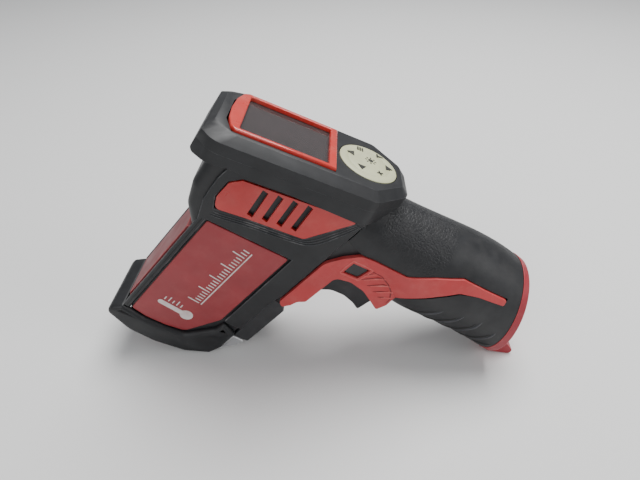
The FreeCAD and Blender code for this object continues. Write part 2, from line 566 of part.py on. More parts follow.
key_spots = [(0, 0)] + [(9, 0), (0, 9), (-9, 0), (0, -9)]
key_disc = rod("key_disc", "keypad_radius - 0.05", "2.6", (-2.0, 0, -size("keypad_place")), (1, 0, 0))
posts = [rod("key_post_%d" % i, "1.6", "3.9", (-5.1, y, z - size("keypad_place")), (1, 0, 0))
         for i, (y, z) in enumerate(key_spots)]
node(tilted(fuse("keypad", key_disc, *posts)), "keypad")
domes = [rod("key_dome_%d" % i, "2.4", "0.5", (-6.9, y, z - size("keypad_place")), (1, 0, 0))
         for i, (y, z) in enumerate(key_spots)]
node(tilted(fuse("key_domes", *domes)), "key_domes")

# ---------------------------------------------------------------- electronics in the barrel and the bay
node(brick("main_board", ("44", "1.6", "34"), (-27, 0, 27)), "main_board")
chips = [brick("chip_%d" % i, (a, "1.2", b), (x, -1.45, z)) for i, (a, b, x, z) in enumerate(
    [("10", "10", -36, 30), ("7", "5", -20, 36), ("5", "7", -18, 20), ("8", "4", -38, 15)])]
node(fuse("board_chips", *chips), "board_chips")
node(rod("buzzer", "5.5", "4", (-30, 0.85, 27), (0, 1, 0)), "buzzer")
node(brick("terminal_block_core", ("28", "20", "10"), (10.5, 0, -47)), "terminal_block")
node(fuse("battery_contacts", *[brick("contact_%d" % i, ("9", "0.8", "9"), (10.5, y, -56.5))
                                for i, y in enumerate((-6, 0, 6))]), "battery_contacts")

# ---------------------------------------------------------------- fasteners
screws = []
for i, (x, z) in enumerate(screw_places):
    screws.append(rod("screw_shank_%d" % i, "screw_radius", "25", (x, -10.4, z), (0, 1, 0)))
    screws.append(rod("screw_head_%d" % i, "2.7", "1.8", (x, 14.5, z), (0, 1, 0)))
node(fuse("housing_screws", *screws), "housing_screws")

# ---------------------------------------------------------------- trigger spring and leads
coil = cut("spring_coil", rod("spring_coil_outside", "2.8", "4.4", (PIVOT[0], -2.2, PIVOT[1]), (0, 1, 0)),
           rod("spring_coil_inside", "2.1", "5", (PIVOT[0], -2.5, PIVOT[1]), (0, 1, 0)))
front_leg = rod("spring_front_leg", "0.3", "4.2", (-15.2, 1.6, -10.4), (-0.93, 0, 0.36))
rear_leg = rod("spring_rear_leg", "0.3", "3.4", (-12.2, -1.6, -6.5), (0.5, 0, 0.86))
node(fuse("trigger_spring", coil, front_leg, rear_leg), "trigger_spring")


def lead(name, points):
    """A round lead along straight runs joined by balls."""
    pieces = []
    for i, (start, end) in enumerate(zip(points, points[1:])):
        way = V(*end) - V(*start)
        pieces.append(rod("%s_run_%d" % (name, i), "lead_radius", "%g" % way.Length, start, way.normalize()))
        if i:
            ball = doc.addObject("Part::Sphere", "%s_bend_%d" % (name, i))
            ball.setExpression("Radius", bound("lead_radius"))
            ball.Placement.Base = V(*start)
            pieces.append(ball)
    return fuse(name, *pieces)


for word, side in (("red", -1), ("black", 1)):
    node(lead("battery_wire_" + word, [(9.6, side * 6, -42), (9.6, side * 6, -5), (5, side * 6, 5),
                                       (-12, side * 6, 14), (-12, side * 0.8, 14)]), "battery_lead_" + word)
node(lead("switch_wire", [(3.2, 2, -20), (3.2, 2, -17.4), (-1.6, 2, -14), (-1.6, 2, 0), (-8, 2, 20),
                          (-8, 0.8, 20)]), "switch_lead")

# ---------------------------------------------------------------- resting position
doc.recompute()


def foot_centre(points):
    """Centre of the rounding at a resting corner of an outline."""
    count = len(points)
    i = next(k for k, p in enumerate(points) if len(p) > 2 and p[2] == size("foot_radius"))
    at, before, after = points[i], points[i - 1], points[(i + 1) % count]
    p, a, b = V(at[0], at[1], 0), V(before[0], before[1], 0), V(after[0], after[1], 0)
    u, w = (a - p).normalize(), (b - p).normalize()
    return p + (u + w).normalize() * (at[2] / math.sin(u.getAngle(w) / 2))


nose_foot, lip_foot = foot_centre(BUMPER), foot_centre(LIP)
lean = math.degrees(math.atan2(nose_foot.y - lip_foot.y, lip_foot.x - nose_foot.x))
turn = FreeCAD.Rotation(V(0, 1, 0), -lean)
drop = turn.multVec(V(nose_foot.x, 0, nose_foot.y)).z - size("foot_radius")
rest = FreeCAD.Placement(V(0, 0, -drop), turn)
for piece in nodes:
    piece.Placement = rest.multiply(piece.Placement)
doc.recompute()
lowest, highest = 1e9, -1e9
for piece in nodes:
    box = piece.Shape.optimalBoundingBox()
    lowest, highest = min(lowest, box.XMin), max(highest, box.XMax)
centring = FreeCAD.Placement(V(-(lowest + highest) / 2, 0, 0), FreeCAD.Rotation())
for piece in nodes:
    piece.Placement = centring.multiply(piece.Placement)
doc.recompute()
print("lean %.3f degrees, drop %.3f, centred by %.3f" % (lean, -drop, -(lowest + highest) / 2))

# ---------------------------------------------------------------- check and write
for obj in doc.Objects:
    if "Invalid" in obj.State or "Error" in obj.State:
        raise RuntimeError("%s did not build: %s" % (obj.Label, obj.State))
os.makedirs("parts", exist_ok=True)
for piece in nodes:
    if piece.Shape.isNull() or not piece.Shape.isValid():
        raise RuntimeError("%s has no valid shape" % piece.Label)
    piece.Shape.exportStep("parts/%s.step" % piece.Label)
    print("%-26s solids %d volume %9.1f" % (piece.Label, len(piece.Shape.Solids), piece.Shape.Volume))
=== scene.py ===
import bpy
import bmesh
import json
import math
from mathutils import Matrix, Vector
from mathutils.bvhtree import BVHTree


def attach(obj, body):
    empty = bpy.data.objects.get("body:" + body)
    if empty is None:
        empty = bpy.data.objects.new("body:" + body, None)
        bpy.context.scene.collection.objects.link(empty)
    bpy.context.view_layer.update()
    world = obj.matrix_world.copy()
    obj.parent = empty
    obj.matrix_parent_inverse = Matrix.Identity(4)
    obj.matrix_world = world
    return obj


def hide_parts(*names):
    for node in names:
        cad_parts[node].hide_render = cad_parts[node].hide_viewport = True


# Infrared thermometer with a pistol grip, lying on the bottom edge of its nose and the lip of its grip.
# The details are drawn in the holding position in millimetres (barrel level along -X, grip down along -Z,
# middle plane Y = 0) and are then carried to the lying position together.

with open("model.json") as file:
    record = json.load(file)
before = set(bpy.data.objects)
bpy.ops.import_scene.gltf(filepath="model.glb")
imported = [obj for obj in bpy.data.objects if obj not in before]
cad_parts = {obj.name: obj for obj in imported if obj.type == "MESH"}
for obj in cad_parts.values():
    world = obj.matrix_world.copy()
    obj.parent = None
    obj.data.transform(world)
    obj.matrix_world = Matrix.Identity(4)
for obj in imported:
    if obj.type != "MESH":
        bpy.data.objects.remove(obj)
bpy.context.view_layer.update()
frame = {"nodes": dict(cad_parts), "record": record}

LEAN = math.radians(49.508)
LYING = (Matrix.Translation((0.00866, 0, 0.079946)) @ Matrix.Rotation(-LEAN, 4, "Y")
         @ Matrix.Scale(0.001, 4))
POD_LEAN = math.radians(17.7)
POD = LYING @ Matrix.Translation((19.9, 0, 44.3)) @ Matrix.Rotation(-POD_LEAN, 4, "Y")
SIDES = (("left", -1), ("right", 1))
FRAME_FACE = 18.2       # half width over the side frames
PRINT_FACE = 17.53      # half width at the middle of the print on the side panels
BAR_THICK, DISC_THICK = 0.16, 0.2       # unequal, so that no two faces of the print lie in one plane
OUTSIDE = 60            # well outside the tool, where rays towards its sides start
LINE_STEPS = 4          # points laid along each stretch of a line
MARK_OUT = 0.78         # how far the keypad's marks stand out of the pod's face
BROKEN_ANGLE = math.radians(32)         # edges sharper than this are broken


# ---------------------------------------------------------------- shared surface effects
def effect(name, inputs, outputs):
    """An empty shader group with its sockets; gives the group, its input node and its output node."""
    group = bpy.data.node_groups.new(name, "ShaderNodeTree")
    for label, kind, value in inputs:
        socket = group.interface.new_socket(label, in_out="INPUT", socket_type=kind)
        if value is not None:
            socket.default_value = value
    for label, kind in outputs:
        group.interface.new_socket(label, in_out="OUTPUT", socket_type=kind)
    return group, group.nodes.new("NodeGroupInput"), group.nodes.new("NodeGroupOutput")


def noise(group, where, scale, detail=3.0, roughness=0.55):
    node = group.nodes.new("ShaderNodeTexNoise")
    node.inputs["Detail"].default_value = detail
    node.inputs["Roughness"].default_value = roughness
    if isinstance(scale, float):
        node.inputs["Scale"].default_value = scale
    else:
        group.links.new(scale, node.inputs["Scale"])
    group.links.new(where, node.inputs["Vector"])
    return node.outputs["Fac"]


def spread(group, value, low, high, to_low=0.0, to_high=1.0):
    node = group.nodes.new("ShaderNodeMapRange")
    node.inputs["From Min"].default_value = low
    node.inputs["From Max"].default_value = high
    node.inputs["To Min"].default_value = to_low
    node.inputs["To Max"].default_value = to_high
    group.links.new(value, node.inputs["Value"])
    return node.outputs["Result"]


def combined(group, first, second, operation="ADD"):
    """One math operation on two sockets or plain values."""
    node = group.nodes.new("ShaderNodeMath")
    node.operation = operation
    for socket, value in zip(node.inputs, (first, second)):
        if isinstance(value, float):
            socket.default_value = value
        else:
            group.links.new(value, socket)
    return node.outputs["Value"]


def blend(group, mask, first, second):
    node = group.nodes.new("ShaderNodeMix")
    node.data_type = "RGBA"
    group.links.new(mask, node.inputs["Factor"])
    for socket, value in ((node.inputs[6], first), (node.inputs[7], second)):
        if isinstance(value, tuple):
            socket.default_value = value
        else:
            group.links.new(value, socket)
    return node.outputs[2]


def make_grain():
    """Fine spark texture of a mould, and the larger waviness of the moulding."""
    group, given, out = effect("moulded_grain", [("Vector", "NodeSocketVector", None),
                                                 ("Grain scale", "NodeSocketFloat", 3.0),
                                                 ("Depth", "NodeSocketFloat", 1.0)],
                               [("Height", "NodeSocketFloat"), ("Roughness", "NodeSocketFloat")])
    fine = noise(group, given.outputs["Vector"], given.outputs["Grain scale"], 4.0, 0.6)
    wavy = noise(group, given.outputs["Vector"], 0.09, 2.0)
    deep = combined(group, fine, given.outputs["Depth"], "MULTIPLY")
    group.links.new(combined(group, deep, combined(group, wavy, 0.5, "MULTIPLY")), out.inputs["Height"])
    group.links.new(spread(group, wavy, 0.3, 0.7, -0.07, 0.07), out.inputs["Roughness"])
    return group


def make_wear():
    """Rubbed patches and thin scratches where hands and benches touch."""
    group, given, out = effect("handling_wear", [("Vector", "NodeSocketVector", None),
                                                 ("Color", "NodeSocketColor", (0.5, 0.5, 0.5, 1)),
                                                 ("Rubbed color", "NodeSocketColor", (0.7, 0.7, 0.7, 1)),
                                                 ("Amount", "NodeSocketFloat", 0.5)],
                               [("Color", "NodeSocketColor"), ("Mask", "NodeSocketFloat")])
    stretch = group.nodes.new("ShaderNodeMapping")
    stretch.inputs["Rotation"].default_value = (0.3, 0.7, 0.2)
    stretch.inputs["Scale"].default_value = (0.05, 1.6, 1.3)
    group.links.new(given.outputs["Vector"], stretch.inputs["Vector"])
    scratches = spread(group, noise(group, stretch.outputs["Vector"], 1.0, 2.0), 0.66, 0.72)
    patches = spread(group, noise(group, given.outputs["Vector"], 0.11, 5.0, 0.65), 0.5, 0.74)
    specks = spread(group, noise(group, given.outputs["Vector"], 1.1, 3.0, 0.6), 0.64, 0.7)
    both = combined(group, combined(group, scratches, 0.45, "MULTIPLY"), patches, "MAXIMUM")
    both = combined(group, both, combined(group, specks, 0.4, "MULTIPLY"), "MAXIMUM")
    mask = combined(group, both, given.outputs["Amount"], "MULTIPLY")
    group.links.new(blend(group, mask, given.outputs["Color"], given.outputs["Rubbed color"]),
                    out.inputs["Color"])
    group.links.new(mask, out.inputs["Mask"])
    return group


def make_dust():
    """Pale dust that settles on faces turned upwards and stays in soft clouds."""
    group, given, out = effect("settled_dust", [("Vector", "NodeSocketVector", None),
                                                ("Normal", "NodeSocketVector", None),
                                                ("Color", "NodeSocketColor", (0.5, 0.5, 0.5, 1)),
                                                ("Amount", "NodeSocketFloat", 0.3)],
                               [("Color", "NodeSocketColor"), ("Mask", "NodeSocketFloat")])
    split = group.nodes.new("ShaderNodeSeparateXYZ")
    group.links.new(given.outputs["Normal"], split.inputs["Vector"])
    upward = spread(group, split.outputs["Z"], -0.2, 0.9)
    clouds = spread(group, noise(group, given.outputs["Vector"], 0.16, 6.0, 0.6), 0.38, 0.72)
    mask = combined(group, combined(group, upward, clouds, "MULTIPLY"), given.outputs["Amount"], "MULTIPLY")
    group.links.new(blend(group, mask, given.outputs["Color"], (0.42, 0.4, 0.37, 1)), out.inputs["Color"])
    group.links.new(mask, out.inputs["Mask"])
    return group


GRAIN, WEAR, DUST = make_grain(), make_wear(), make_dust()


def placed(material, group, links):
    """Put a shared effect into a material and feed its named inputs with sockets or plain values."""
    node = material.node_tree.nodes.new("ShaderNodeGroup")
    node.node_tree = group
    for label, value in links.items():
        if isinstance(value, (int, float, tuple)):
            node.inputs[label].default_value = value
        else:
            material.node_tree.links.new(value, node.inputs[label])
    return node


def plastic(name, color, rubbed, roughness, wear=0.35, dust=0.25, grain=2.5, depth=0.25, bump=0.12,
            coat=0.0, metallic=0.0):
    """A moulded or painted finish: its colour drifts, its edges are rubbed, and dust has settled on it."""
    material = bpy.data.materials.new(name)
    material.use_nodes = True
    tree = material.node_tree
    shader = tree.nodes["Principled BSDF"]
    where = tree.nodes.new("ShaderNodeTexCoord")
    held = tree.nodes.new("ShaderNodeMapping")
    held.vector_type = "TEXTURE"
    held.inputs["Location"].default_value = LYING.to_translation()
    held.inputs["Rotation"].default_value = (0, -LEAN, 0)
    held.inputs["Scale"].default_value = (0.001, 0.001, 0.001)
    tree.links.new(where.outputs["Object"], held.inputs["Vector"])
    spot = held.outputs["Vector"]
    facing = tree.nodes.new("ShaderNodeNewGeometry")
    drift = spread(tree, noise(tree, spot, 0.07, 3.0), 0.3, 0.7)
    shade = tuple(min(c * 1.08 + 0.001, 1) for c in color) + (1,)
    base = blend(tree, drift, tuple(c * 0.92 for c in color) + (1,), shade)
    worn = placed(material, WEAR, {"Vector": spot, "Color": base, "Rubbed color": rubbed + (1,),
                                   "Amount": wear})
    dusty = placed(material, DUST, {"Vector": spot, "Normal": facing.outputs["Normal"],
                                    "Color": worn.outputs["Color"], "Amount": dust})
    surface = placed(material, GRAIN, {"Vector": spot, "Grain scale": grain, "Depth": depth})
    tree.links.new(dusty.outputs["Color"], shader.inputs["Base Color"])
    rough = combined(tree, surface.outputs["Roughness"], float(roughness))
    rough = combined(tree, rough, combined(tree, worn.outputs["Mask"], 0.14, "MULTIPLY"))
    rough = combined(tree, rough, combined(tree, dusty.outputs["Mask"], 0.2, "MULTIPLY"))
    tree.links.new(rough, shader.inputs["Roughness"])
    raised = tree.nodes.new("ShaderNodeBump")
    raised.inputs["Strength"].default_value = bump
    raised.inputs["Distance"].default_value = 0.0003
    tree.links.new(surface.outputs["Height"], raised.inputs["Height"])
    tree.links.new(raised.outputs["Normal"], shader.inputs["Normal"])
    shader.inputs["Metallic"].default_value = metallic
    shader.inputs["Coat Weight"].default_value = coat
    shader.inputs["Coat Roughness"].default_value = 0.12
    shader.inputs["Specular IOR Level"].default_value = 0.5
    return material


def clear(name, tint, roughness, weight):
    """A clear window, lightly scratched."""
    material = plastic(name, tint, (0.4, 0.37, 0.36), roughness, wear=0.1, dust=0.06, grain=6.0, depth=0.05,
                       bump=0.02)
    shader = material.node_tree.nodes["Principled BSDF"]
    shader.inputs["Transmission Weight"].default_value = weight
    shader.inputs["IOR"].default_value = 1.49
    return material


def leather_grain(material, low, high):
    """Pebbled texture on the part of the rubber under the web of the hand."""
    tree = material.node_tree
    spot = next(n for n in tree.nodes if n.bl_idname == "ShaderNodeMapping").outputs["Vector"]
    pebbles = tree.nodes.new("ShaderNodeTexVoronoi")
    pebbles.feature = "DISTANCE_TO_EDGE"
    pebbles.inputs["Scale"].default_value = 0.62
    tree.links.new(spot, pebbles.inputs["Vector"])
    split = tree.nodes.new("ShaderNodeSeparateXYZ")
    tree.links.new(spot, split.inputs["Vector"])
    inside = combined(tree, spread(tree, split.outputs["Z"], low - 2, low + 2),
                    spread(tree, split.outputs["Z"], high + 2, high - 2), "MULTIPLY")
    inside = combined(tree, inside, spread(tree, split.outputs["X"], 12.0, 17.0), "MULTIPLY")
    raised = next(n for n in tree.nodes if n.bl_idname == "ShaderNodeBump")
    plain = raised.inputs["Height"].links[0].from_socket
    pebble = combined(tree, spread(tree, pebbles.outputs["Distance"], 0.0, 0.25), inside, "MULTIPLY")
    tree.links.new(combined(tree, plain, combined(tree, pebble, 3.2, "MULTIPLY")), raised.inputs["Height"])
    return material


# ---------------------------------------------------------------- the finishes of this tool
RUBBED_BLACK = (0.032, 0.034, 0.039)
rubber = plastic("black_rubber", (0.0045, 0.005, 0.0065), RUBBED_BLACK, 0.5, wear=0.22, dust=0.015, grain=2.2)
# Lighter finish of the broken edges on the rubber: partly rubbed wear, partly a painted highlight along the
# edges.
rubber_edge_wear_and_highlight = plastic("rubber_edge_wear_and_painted_highlight", (0.018, 0.02, 0.024), (0.17, 0.17, 0.17), 0.42, wear=0.85,
                      dust=0.05, grain=2.0)
grip_rubber = leather_grain(plastic("grip_rubber", (0.005, 0.0055, 0.007), (0.028, 0.029, 0.033), 0.52,
                                    wear=0.3, dust=0.03, grain=1.6, depth=0.5, bump=0.25), -46, -12)
# Near-black beads laid in the finger grooves and along the frame: painted shade in the grooves.
groove_painted_shade = plastic("groove_painted_shade", (0.003, 0.003, 0.0035), (0.02, 0.02, 0.02), 0.6, wear=0.1, dust=0.02)
# Lighter beads on the lower lip of each finger groove: a painted highlight, with some rubbed wear.
groove_lip_wear_and_highlight = plastic("groove_lip_wear_and_highlight", (0.03, 0.032, 0.038), (0.08, 0.082, 0.09), 0.42, wear=0.4, dust=0.05)
shell_black = plastic("black_shell", (0.005, 0.0055, 0.007), RUBBED_BLACK, 0.45, wear=0.25, dust=0.02,
                      grain=3.0)
panel_red = plastic("brick_red_paint", (0.27, 0.015, 0.021), (0.38, 0.07, 0.065), 0.44, wear=0.28, dust=0.09,
                    grain=2.4, bump=0.08, coat=0.15)
# Lighter red of the panels' broken edges: rubbed wear and a painted highlight.
panel_edge_wear_and_highlight = plastic("brick_red_edge_wear_and_highlight", (0.36, 0.045, 0.05), (0.6, 0.3, 0.28), 0.4, wear=0.6, dust=0.1)
strip_red = plastic("dull_strip_red", (0.16, 0.012, 0.016), (0.26, 0.06, 0.06), 0.52, wear=0.3, dust=0.07)
vent_red = plastic("bright_red_paint", (0.43, 0.014, 0.012), (0.55, 0.12, 0.09), 0.34, wear=0.25, dust=0.06,
                   bump=0.06, coat=0.25)
# Bright red of the louvers' broken edges: rubbed wear and a painted highlight.
vent_edge_wear_and_highlight = plastic("bright_red_edge_wear_and_highlight", (0.68, 0.1, 0.075), (0.8, 0.34, 0.28), 0.34, wear=0.5, dust=0.05)
collar_red = plastic("collar_red", (0.46, 0.035, 0.037), (0.55, 0.14, 0.12), 0.5, wear=0.3, dust=0.08,
                     grain=1.8, depth=0.4, bump=0.14)
# Lighter red of the collar's broken edges, ribs and lock rim: rubbed wear and a painted highlight.
collar_edge_wear_and_highlight = plastic("collar_edge_wear_and_highlight", (0.56, 0.075, 0.07), (0.7, 0.28, 0.25), 0.48, wear=0.5, dust=0.05)
# Dark red lines beside the collar's ribs and along its arc: painted shade in the creases.
collar_crease_painted_shade = plastic("collar_crease_painted_shade", (0.17, 0.012, 0.014), (0.3, 0.06, 0.05), 0.6, wear=0.2, dust=0.02)
rim_red = plastic("rim_red", (0.3, 0.007, 0.018), (0.5, 0.09, 0.09), 0.42, wear=0.3, dust=0.06)
# Lighter red of the butt rim's broken edges: rubbed wear and a painted highlight.
rim_edge_wear_and_highlight = plastic("rim_edge_wear_and_highlight", (0.46, 0.045, 0.05), (0.65, 0.26, 0.25), 0.4, wear=0.5, dust=0.04)
bezel_red = plastic("orange_red_gloss", (0.56, 0.03, 0.02), (0.68, 0.18, 0.12), 0.26, wear=0.2, dust=0.04,
                    bump=0.04, coat=0.5)
cream = plastic("cream_silicone", (0.52, 0.53, 0.33), (0.36, 0.35, 0.24), 0.5, wear=0.35, dust=0.05,
                grain=2.0, bump=0.08)
legend = plastic("key_legend", (0.018, 0.018, 0.014), (0.12, 0.12, 0.08), 0.6, wear=0.3, dust=0.0)
print_white = plastic("white_print", (0.68, 0.62, 0.6), (0.36, 0.1, 0.1), 0.5, wear=0.5, dust=0.08)
trigger_black = plastic("trigger_black", (0.009, 0.0092, 0.0115), (0.05, 0.05, 0.055), 0.4, wear=0.3,
                        dust=0.03)
# Lighter black of the broken edges on the trigger, block, slide and bezel: rubbed wear and a painted
# highlight.
trigger_edge_wear_and_highlight = plastic("trigger_edge_wear_and_highlight", (0.02, 0.021, 0.024), (0.1, 0.1, 0.105), 0.4, wear=0.5, dust=0.04)
block_grey = plastic("dark_grey_block", (0.014, 0.0145, 0.017), (0.07, 0.07, 0.075), 0.48, wear=0.35,
                     dust=0.05)
silver = plastic("silver_grey_paint", (0.36, 0.36, 0.37), (0.55, 0.55, 0.55), 0.38, wear=0.4, dust=0.05,
                 metallic=0.15)
# Near-white broken edges of the silver plate: a painted highlight, with some rubbed wear.
silver_edge_wear_and_highlight = plastic("silver_edge_wear_and_painted_highlight", (0.7, 0.7, 0.7), (0.8, 0.8, 0.8), 0.3, wear=0.3, dust=0.0,
                      metallic=0.3)
glass = clear("display_glass", (0.3, 0.26, 0.26), 0.1, 0.86)
lens_glass = clear("lens_glass", (0.3, 0.26, 0.34), 0.06, 0.35)
lcd_grey = plastic("display_film", (0.034, 0.027, 0.027), (0.06, 0.05, 0.05), 0.35, wear=0.1, dust=0.02,
                   grain=5.0, bump=0.02, coat=0.4)
lcd_line = plastic("display_line", (0.2, 0.18, 0.17), (0.12, 0.1, 0.1), 0.5, wear=0.2, dust=0.0)
tube_metal = plastic("turned_aluminium", (0.6, 0.61, 0.63), (0.75, 0.75, 0.75), 0.3, wear=0.2, dust=0.05,
                     grain=6.0, metallic=1.0)
steel = plastic("bright_steel", (0.55, 0.55, 0.57), (0.7, 0.7, 0.7), 0.28, wear=0.3, dust=0.05, grain=5.0,
                metallic=1.0)
brass = plastic("plated_brass", (0.7, 0.52, 0.22), (0.8, 0.65, 0.35), 0.3, wear=0.3, dust=0.05, grain=5.0,
                metallic=1.0)
board_green = plastic("green_board", (0.015, 0.11, 0.045), (0.04, 0.17, 0.08), 0.35, wear=0.2, dust=0.05,
                      grain=1.2, coat=0.3)
chip_black = plastic("chip_black", (0.015, 0.015, 0.016), (0.05, 0.05, 0.05), 0.55, wear=0.15, dust=0.05)
foam_black = plastic("foam_black", (0.012, 0.012, 0.012), (0.04, 0.04, 0.04), 0.9, wear=0.1, dust=0.05,
                     grain=4.0, depth=0.8, bump=0.4)
plunger_white = plastic("plunger_white", (0.62, 0.62, 0.58), (0.5, 0.5, 0.47), 0.45, wear=0.2, dust=0.02)
lead_red = plastic("lead_red", (0.42, 0.015, 0.015), (0.5, 0.08, 0.06), 0.45, wear=0.1, dust=0.02)
lead_black = plastic("lead_black", (0.012, 0.012, 0.012), (0.05, 0.05, 0.05), 0.45, wear=0.1, dust=0.02)

FINISHES = {"shell_black": shell_black, "rubber_black": rubber, "trim_red": panel_red,
            "vent_red": vent_red, "surround_red": collar_red, "bezel_red": bezel_red,
            "display_glass": glass, "lens_glass": lens_glass, "key_cream": cream,
            "trigger_black": trigger_black, "silver_plastic": silver, "tube_metal": tube_metal,
            "steel": steel, "board_green": board_green, "chip_black": chip_black,
            "foam_black": foam_black, "lcd_grey": lcd_grey, "plunger_white": plunger_white,
            "contact_brass": brass, "lead_red": lead_red, "lead_black": lead_black}
OWN_FINISH = {"grip_left": grip_rubber, "grip_right": grip_rubber, "butt_rim": rim_red,
              "under_barrel_block": block_grey, "top_strip": strip_red}
slots = {part["node"]: part["material_slot"] for part in frame["record"]["subparts"]}
bodies = {node: body for body, members in frame["record"]["behaviour"]["bodies"].items()
          for node in members}


def finish_of(node):
    return OWN_FINISH.get(node, FINISHES[slots[node]])


for node, carried in frame["nodes"].items():
    carried.data.materials.clear()
    carried.data.materials.append(finish_of(node))


# ---------------------------------------------------------------- making pieces
def settle(mesh, name, body, materials, sharp=35):
    """Make a finished mesh an object of this tool, riding on one of its bodies."""
    piece = bpy.data.objects.new(name, mesh)
    bpy.context.collection.objects.link(piece)
    for material in materials:
        mesh.materials.append(material)
    mesh.polygons.foreach_set("use_smooth", [True] * len(mesh.polygons))
    mesh.set_sharp_from_angle(angle=math.radians(sharp))
    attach(piece, body)
    return piece


def carry(shape, name, place, body, slot_name, *materials):
    """Take a drawn shape from its drawing place to the lying tool and finish it."""
    bmesh.ops.transform(shape, matrix=place, verts=shape.verts)
    bmesh.ops.remove_doubles(shape, verts=shape.verts, dist=1e-7)
    bmesh.ops.recalc_face_normals(shape, faces=shape.faces)
    mesh = bpy.data.meshes.new(name)
    shape.to_mesh(mesh)
    shape.free()
    return settle(mesh, name, body, materials)


def eased(node, width, edge):
    """Put the same part in a node's place, with its sharp edges broken and a lighter finish on them: the rub
    of use and a painted highlight.
    """
    shape = bmesh.new()
    shape.from_mesh(frame["nodes"][node].data)
    bmesh.ops.remove_doubles(shape, verts=shape.verts, dist=1e-6)
    if "louver" not in node:        # a face with the slots in it cannot become one polygon
        bmesh.ops.dissolve_limit(shape, angle_limit=math.radians(1), verts=shape.verts, edges=shape.edges)
    mesh = bpy.data.meshes.new(node + "_eased")
    shape.to_mesh(mesh)
    shape.free()
    piece = settle(mesh, node + "_eased", bodies[node], (finish_of(node), edge))
    broken = piece.modifiers.new("broken_edges", "BEVEL")
    broken.width = width / 1000
    broken.segments = 2
    broken.limit_method = "ANGLE"
    broken.angle_limit = BROKEN_ANGLE
    # the broken edges take the lighter edge finish: rubbed wear and a painted highlight
    broken.material = 1
    broken.use_clamp_overlap = True
    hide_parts(node)


# Each part with its bevel width in mm and the lighter finish of its edges: wear and a painted highlight.
EASED = [("nose_bumper", 0.5, rubber_edge_wear_and_highlight), ("side_frame_left", 0.45, rubber_edge_wear_and_highlight),
         ("side_frame_right", 0.45, rubber_edge_wear_and_highlight), ("side_panel_left", 0.3, panel_edge_wear_and_highlight),
         ("side_panel_right", 0.3, panel_edge_wear_and_highlight), ("louver_insert_left", 1.1, vent_edge_wear_and_highlight),
         ("louver_insert_right", 1.1, vent_edge_wear_and_highlight), ("top_strip", 0.4, panel_edge_wear_and_highlight),
         ("pod_front_cover", 0.7, rubber_edge_wear_and_highlight), ("pod_back_cover", 0.7, rubber_edge_wear_and_highlight),
         ("under_barrel_block", 0.6, trigger_edge_wear_and_highlight), ("underside_plate", 0.5, silver_edge_wear_and_highlight),
         ("trigger", 0.4, trigger_edge_wear_and_highlight), ("lock_slide", 0.35, trigger_edge_wear_and_highlight),
         ("butt_rim", 0.45, rim_edge_wear_and_highlight), ("trigger_surround_left", 0.4, collar_edge_wear_and_highlight),
         ("trigger_surround_right", 0.4, collar_edge_wear_and_highlight), ("front_bezel", 0.4, trigger_edge_wear_and_highlight)]
for node, width, edge in EASED:
    eased(node, width, edge)


def skin_of(node):
    """The surface of a part, to lay details on."""
    shape = bmesh.new()
    shape.from_mesh(frame["nodes"][node].data)
    return BVHTree.FromBMesh(shape)


def on_skin(skin, x, z, side, out):
    """The point of a part's side straight in from (x, z) of the side view, moved out by a distance."""
    start = LYING @ Vector((x, side * OUTSIDE, z))
    hit = skin.ray_cast(start, Vector((0, -side, 0)))[0]
    if hit is None:
        return None
    return hit + Vector((0, side * out / 1000, 0))


def bead(name, runs, thickness, body, material):
    """Soft raised lines through points of the lying tool; each run tapers to its ends."""
    curve = bpy.data.curves.new(name + "_line", "CURVE")
    curve.dimensions = "3D"
    curve.bevel_depth = thickness / 1000
    curve.bevel_resolution = 3
    curve.use_fill_caps = True
    for run, taper in runs:
        spline = curve.splines.new("NURBS")
        spline.points.add(len(run) - 1)
        for i, (knot, spot) in enumerate(zip(spline.points, run)):
            knot.co = (*spot, 1)
            along = i / (len(run) - 1)
            knot.radius = 1 - taper * (2 * along - 1) ** 2
        spline.use_endpoint_u = True
        spline.order_u = 3
        spline.resolution_u = 6
    holder = bpy.data.objects.new(name + "_line", curve)
    bpy.context.collection.objects.link(holder)
    bpy.context.view_layer.update()
    mesh = bpy.data.meshes.new_from_object(holder.evaluated_get(bpy.context.evaluated_depsgraph_get()))
    bpy.data.objects.remove(holder)
    mesh.materials.clear()
    return settle(mesh, name, body, (material,), 60)


def flat_line(points, side, out):
    """Points of the side view carried onto a flat face at a distance from the middle plane."""
    return [LYING @ Vector((x, side * out, z)) for x, z in points]


# ---------------------------------------------------------------- lines and ridges on the barrel
for word, side in SIDES:
    ridges = []
    for step in (1.3, 2.5, 3.7):
        ridges.append((flat_line([(-20.9 - step, 49.2), (-20.6 - step, 47), (-16.2 - step, 36.5),
                                  (-8.7 - step, 12.4), (-6.2 - 0.7 * step, 9.4 - 0.9 * step),
                                  (0.5 - 0.4 * step, 6 - 1.15 * step), (13.4, -0.2 - 0.8 * step)],
                                 side, FRAME_FACE), 0.35))
    # the ridges in the lighter edge finish: painted highlight along them, with wear
    bead("frame_ridges_" + word, ridges, 0.34, "housing", rubber_edge_wear_and_highlight)
    # a dark bead along the frame: painted shade in its groove
    groove = flat_line([(-101, 50.9), (-60, 50.9), (-29, 50.9)], side, FRAME_FACE)
    bead("frame_groove_" + word, [(groove, 0.2)], 0.22, "housing", groove_painted_shade)


